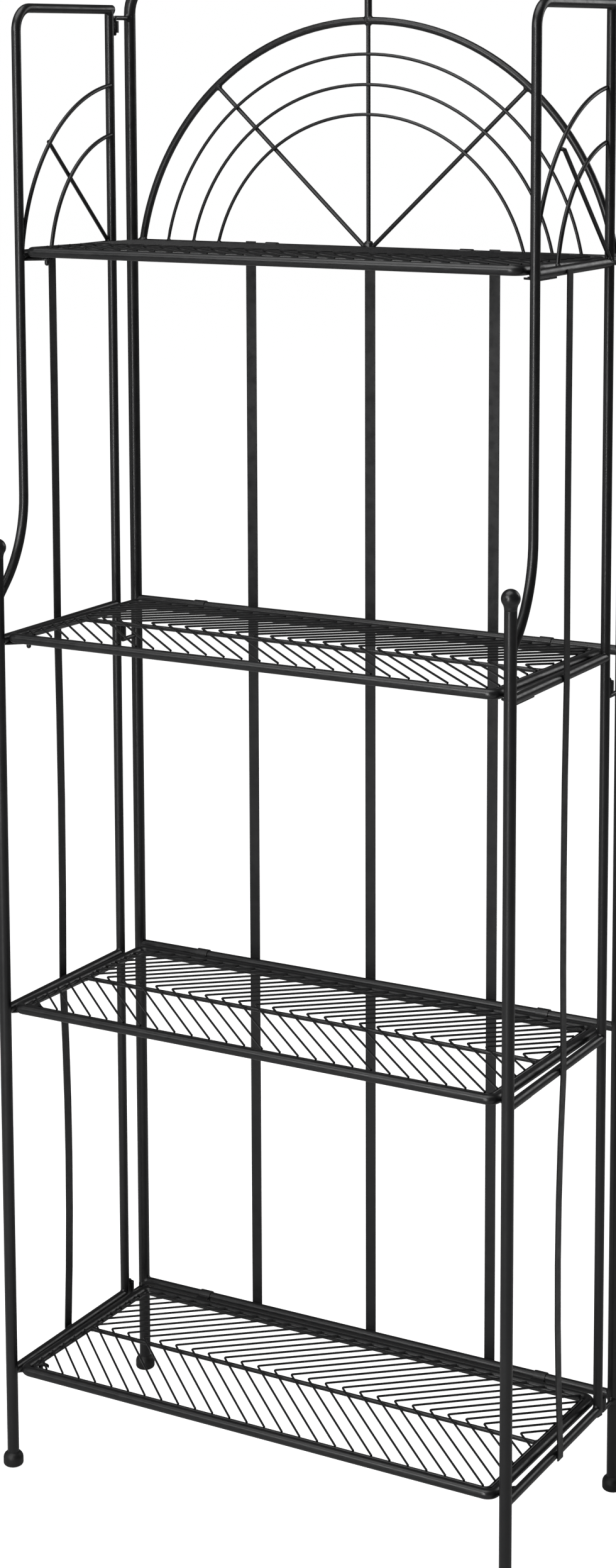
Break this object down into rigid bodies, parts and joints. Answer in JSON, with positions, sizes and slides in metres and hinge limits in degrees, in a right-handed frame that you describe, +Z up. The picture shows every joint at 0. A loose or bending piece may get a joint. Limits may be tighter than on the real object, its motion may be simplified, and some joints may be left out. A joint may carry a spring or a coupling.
{
  "type": "bakers rack",
  "caption": "Tall open bakers rack of bent tube with chevron wire shelves that lift up, hinged side panels, ball finials and a sunburst back above the top shelf.",
  "frame": {"origin": "centre of the overall box at floor level, under the feet", "axes": "+X to the rack's right as seen from the front, +Y to the back, +Z up"},
  "size_m": [0.619, 0.29, 1.6234],
  "materials": {
    "tube_coat": "black satin powder coat on steel tube",
    "rod_coat": "black satin powder coat on steel rod and wire",
    "flat_bar_coat": "charcoal black satin powder coat on flat steel bar and sheet",
    "foot_caps": "black moulded plastic"
  },
  "bodies": {
    "back_frame": {"back_hoop": "tube_coat", "top_back_rail": "tube_coat", "upper_back_rail": "tube_coat", "lower_back_rail": "tube_coat", "bottom_back_rail": "tube_coat", "back_slats": "flat_bar_coat", "sunburst_arch": "rod_coat", "sunburst_arcs": "rod_coat", "sunburst_spokes": "rod_coat", "crown_rod": "rod_coat", "left_hinge_pins": "rod_coat", "right_hinge_pins": "rod_coat", "back_feet": "foot_caps"},
    "left_side": {"left_front_post": "tube_coat", "left_ball_finial": "tube_coat", "left_front_foot": "foot_caps", "left_side_hoop": "tube_coat", "left_rear_post": "tube_coat", "left_side_rails": "tube_coat", "left_side_slat": "flat_bar_coat", "left_fan_arcs": "rod_coat", "left_fan_spoke": "rod_coat", "left_hinge_sleeves": "tube_coat", "left_shelf_tabs": "flat_bar_coat"},
    "right_side": {"right_front_post": "tube_coat", "right_ball_finial": "tube_coat", "right_front_foot": "foot_caps", "right_side_hoop": "tube_coat", "right_rear_post": "tube_coat", "right_side_rails": "tube_coat", "right_side_slat": "flat_bar_coat", "right_fan_arcs": "rod_coat", "right_fan_spoke": "rod_coat", "right_hinge_sleeves": "tube_coat", "right_shelf_tabs": "flat_bar_coat"},
    "top_shelf": {"top_shelf_ring": "tube_coat", "top_shelf_border": "rod_coat", "top_shelf_spine": "rod_coat", "top_shelf_wires": "rod_coat", "top_shelf_pins": "rod_coat", "top_shelf_clips": "flat_bar_coat"},
    "upper_shelf": {"upper_shelf_ring": "tube_coat", "upper_shelf_border": "rod_coat", "upper_shelf_spine": "rod_coat", "upper_shelf_wires": "rod_coat", "upper_shelf_pins": "rod_coat", "upper_shelf_clips": "flat_bar_coat"},
    "lower_shelf": {"lower_shelf_ring": "tube_coat", "lower_shelf_border": "rod_coat", "lower_shelf_spine": "rod_coat", "lower_shelf_wires": "rod_coat", "lower_shelf_pins": "rod_coat", "lower_shelf_clips": "flat_bar_coat"},
    "bottom_shelf": {"bottom_shelf_ring": "tube_coat", "bottom_shelf_border": "rod_coat", "bottom_shelf_spine": "rod_coat", "bottom_shelf_wires": "rod_coat", "bottom_shelf_pins": "rod_coat", "bottom_shelf_clips": "flat_bar_coat"}
  },
  "joints": [
    {"name": "left_side_swing", "type": "hinge", "parent": "back_frame", "child": "left_side", "pos_m": [-0.2985, 0.1025, 0.11], "axis": [0, 0, -1], "range_deg": [0, 110]},
    {"name": "right_side_swing", "type": "hinge", "parent": "back_frame", "child": "right_side", "pos_m": [0.2985, 0.1025, 0.11], "axis": [0, 0, 1], "range_deg": [0, 110]},
    {"name": "top_shelf_lift", "type": "hinge", "parent": "back_frame", "child": "top_shelf", "pos_m": [0, 0.134, 1.3252], "axis": [-1, 0, 0], "range_deg": [0, 64]},
    {"name": "upper_shelf_lift", "type": "hinge", "parent": "back_frame", "child": "upper_shelf", "pos_m": [0, 0.134, 0.9207], "axis": [-1, 0, 0], "range_deg": [0, 84]},
    {"name": "lower_shelf_lift", "type": "hinge", "parent": "back_frame", "child": "lower_shelf", "pos_m": [0, 0.134, 0.5162], "axis": [-1, 0, 0], "range_deg": [0, 84]},
    {"name": "bottom_shelf_lift", "type": "hinge", "parent": "back_frame", "child": "bottom_shelf", "pos_m": [0, 0.134, 0.1072], "axis": [-1, 0, 0], "range_deg": [0, 84]}
  ]
}
